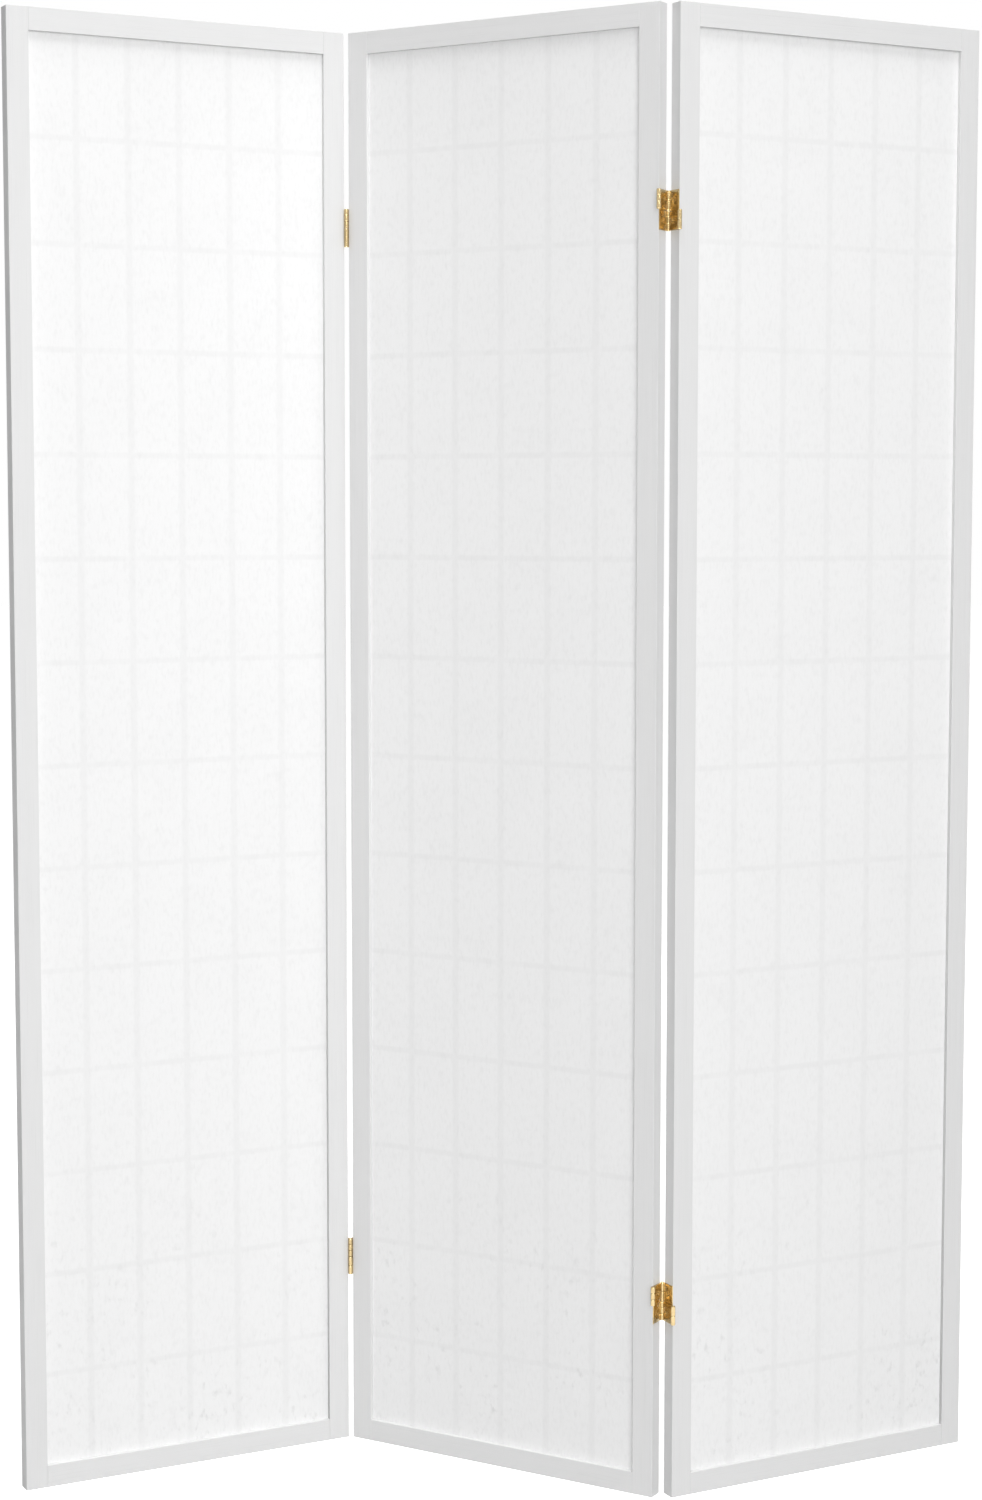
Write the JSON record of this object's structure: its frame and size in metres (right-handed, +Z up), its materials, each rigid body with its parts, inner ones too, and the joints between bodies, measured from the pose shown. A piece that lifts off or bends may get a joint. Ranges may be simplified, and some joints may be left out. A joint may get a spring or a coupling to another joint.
{
  "type": "folding screen",
  "caption": "Free-standing folding screen of painted wooden frames filled with rice paper over a thin wooden lattice, joined by two-way brass hinges.",
  "frame": {"origin": "middle of the footprint, on the floor", "axes": "+Z up, +Y from front to back; the middle panel's front faces between -Y and -X"},
  "size_m": [1.1728, 0.2374, 1.7844],
  "materials": {
    "painted_wood": "satin off-white paint with faint grain",
    "lattice_wood": "satin off-white paint",
    "rice_paper": "matt fibrous translucent paper",
    "brass": "polished brass plating"
  },
  "bodies": {
    "left_panel": {"left_panel_left_stile": "painted_wood", "left_panel_right_stile": "painted_wood", "left_panel_bottom_rail": "painted_wood", "left_panel_top_rail": "painted_wood", "left_panel_rice_paper": "rice_paper", "left_panel_lattice_uprights": "lattice_wood", "left_panel_lattice_crossbars": "lattice_wood", "left_bottom_hinge_left_leaf": "brass", "left_bottom_hinge_lower_swing_plate": "brass", "left_top_hinge_left_leaf": "brass", "left_top_hinge_lower_swing_plate": "brass"},
    "middle_panel": {"middle_panel_left_stile": "painted_wood", "middle_panel_right_stile": "painted_wood", "middle_panel_bottom_rail": "painted_wood", "middle_panel_top_rail": "painted_wood", "middle_panel_rice_paper": "rice_paper", "middle_panel_lattice_uprights": "lattice_wood", "middle_panel_lattice_crossbars": "lattice_wood", "left_bottom_hinge_right_leaf": "brass", "left_bottom_hinge_upper_swing_plate": "brass", "left_top_hinge_right_leaf": "brass", "left_top_hinge_upper_swing_plate": "brass", "right_bottom_hinge_left_leaf": "brass", "right_bottom_hinge_upper_swing_plate": "brass", "right_top_hinge_left_leaf": "brass", "right_top_hinge_upper_swing_plate": "brass"},
    "right_panel": {"right_panel_left_stile": "painted_wood", "right_panel_right_stile": "painted_wood", "right_panel_bottom_rail": "painted_wood", "right_panel_top_rail": "painted_wood", "right_panel_rice_paper": "rice_paper", "right_panel_lattice_uprights": "lattice_wood", "right_panel_lattice_crossbars": "lattice_wood", "right_bottom_hinge_right_leaf": "brass", "right_bottom_hinge_lower_swing_plate": "brass", "right_top_hinge_right_leaf": "brass", "right_top_hinge_lower_swing_plate": "brass"}
  },
  "joints": [
    {"name": "left_fold", "type": "hinge", "parent": "middle_panel", "child": "left_panel", "pos_m": [-0.19555, 0.09395, 0.89218], "axis": [0, 0, 1], "range_deg": [-57.4, 122.6]},
    {"name": "right_fold", "type": "hinge", "parent": "middle_panel", "child": "right_panel", "pos_m": [0.19755, -0.09401, 0.89218], "axis": [0, 0, 1], "range_deg": [-58, 122]}
  ]
}
